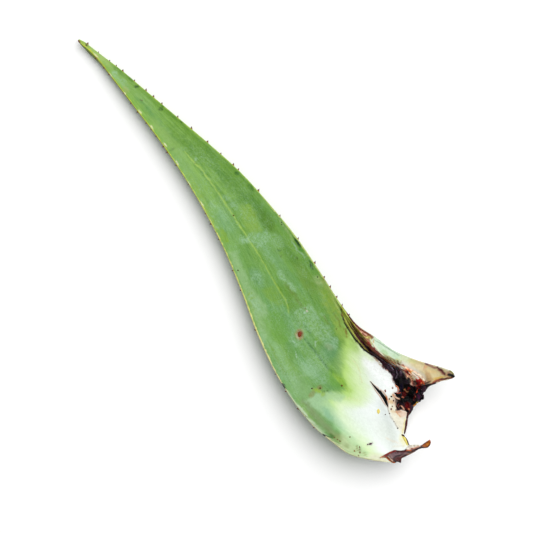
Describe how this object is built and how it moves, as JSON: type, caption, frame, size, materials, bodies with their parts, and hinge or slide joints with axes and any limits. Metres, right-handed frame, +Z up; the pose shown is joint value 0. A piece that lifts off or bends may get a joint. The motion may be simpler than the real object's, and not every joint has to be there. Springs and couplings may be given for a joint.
{
  "type": "aloe vera leaf",
  "caption": "Thick tapering aloe leaf with toothed margins and a torn, clasping white base that ends in two horns, lying on its convex back.",
  "frame": {"origin": "bottom centre of the leaf's bounding box, on the surface that it lies on", "axes": "+X along the leaf towards its tip, +Y towards the bulging belly margin, +Z up, out of the upper face"},
  "size_m": [0.5022, 0.1312, 0.0321],
  "materials": {
    "leaf_skin": "waxy green skin, pale at the base"
  },
  "bodies": {
    "root": {"leaf": "leaf_skin"}
  },
  "joints": []
}
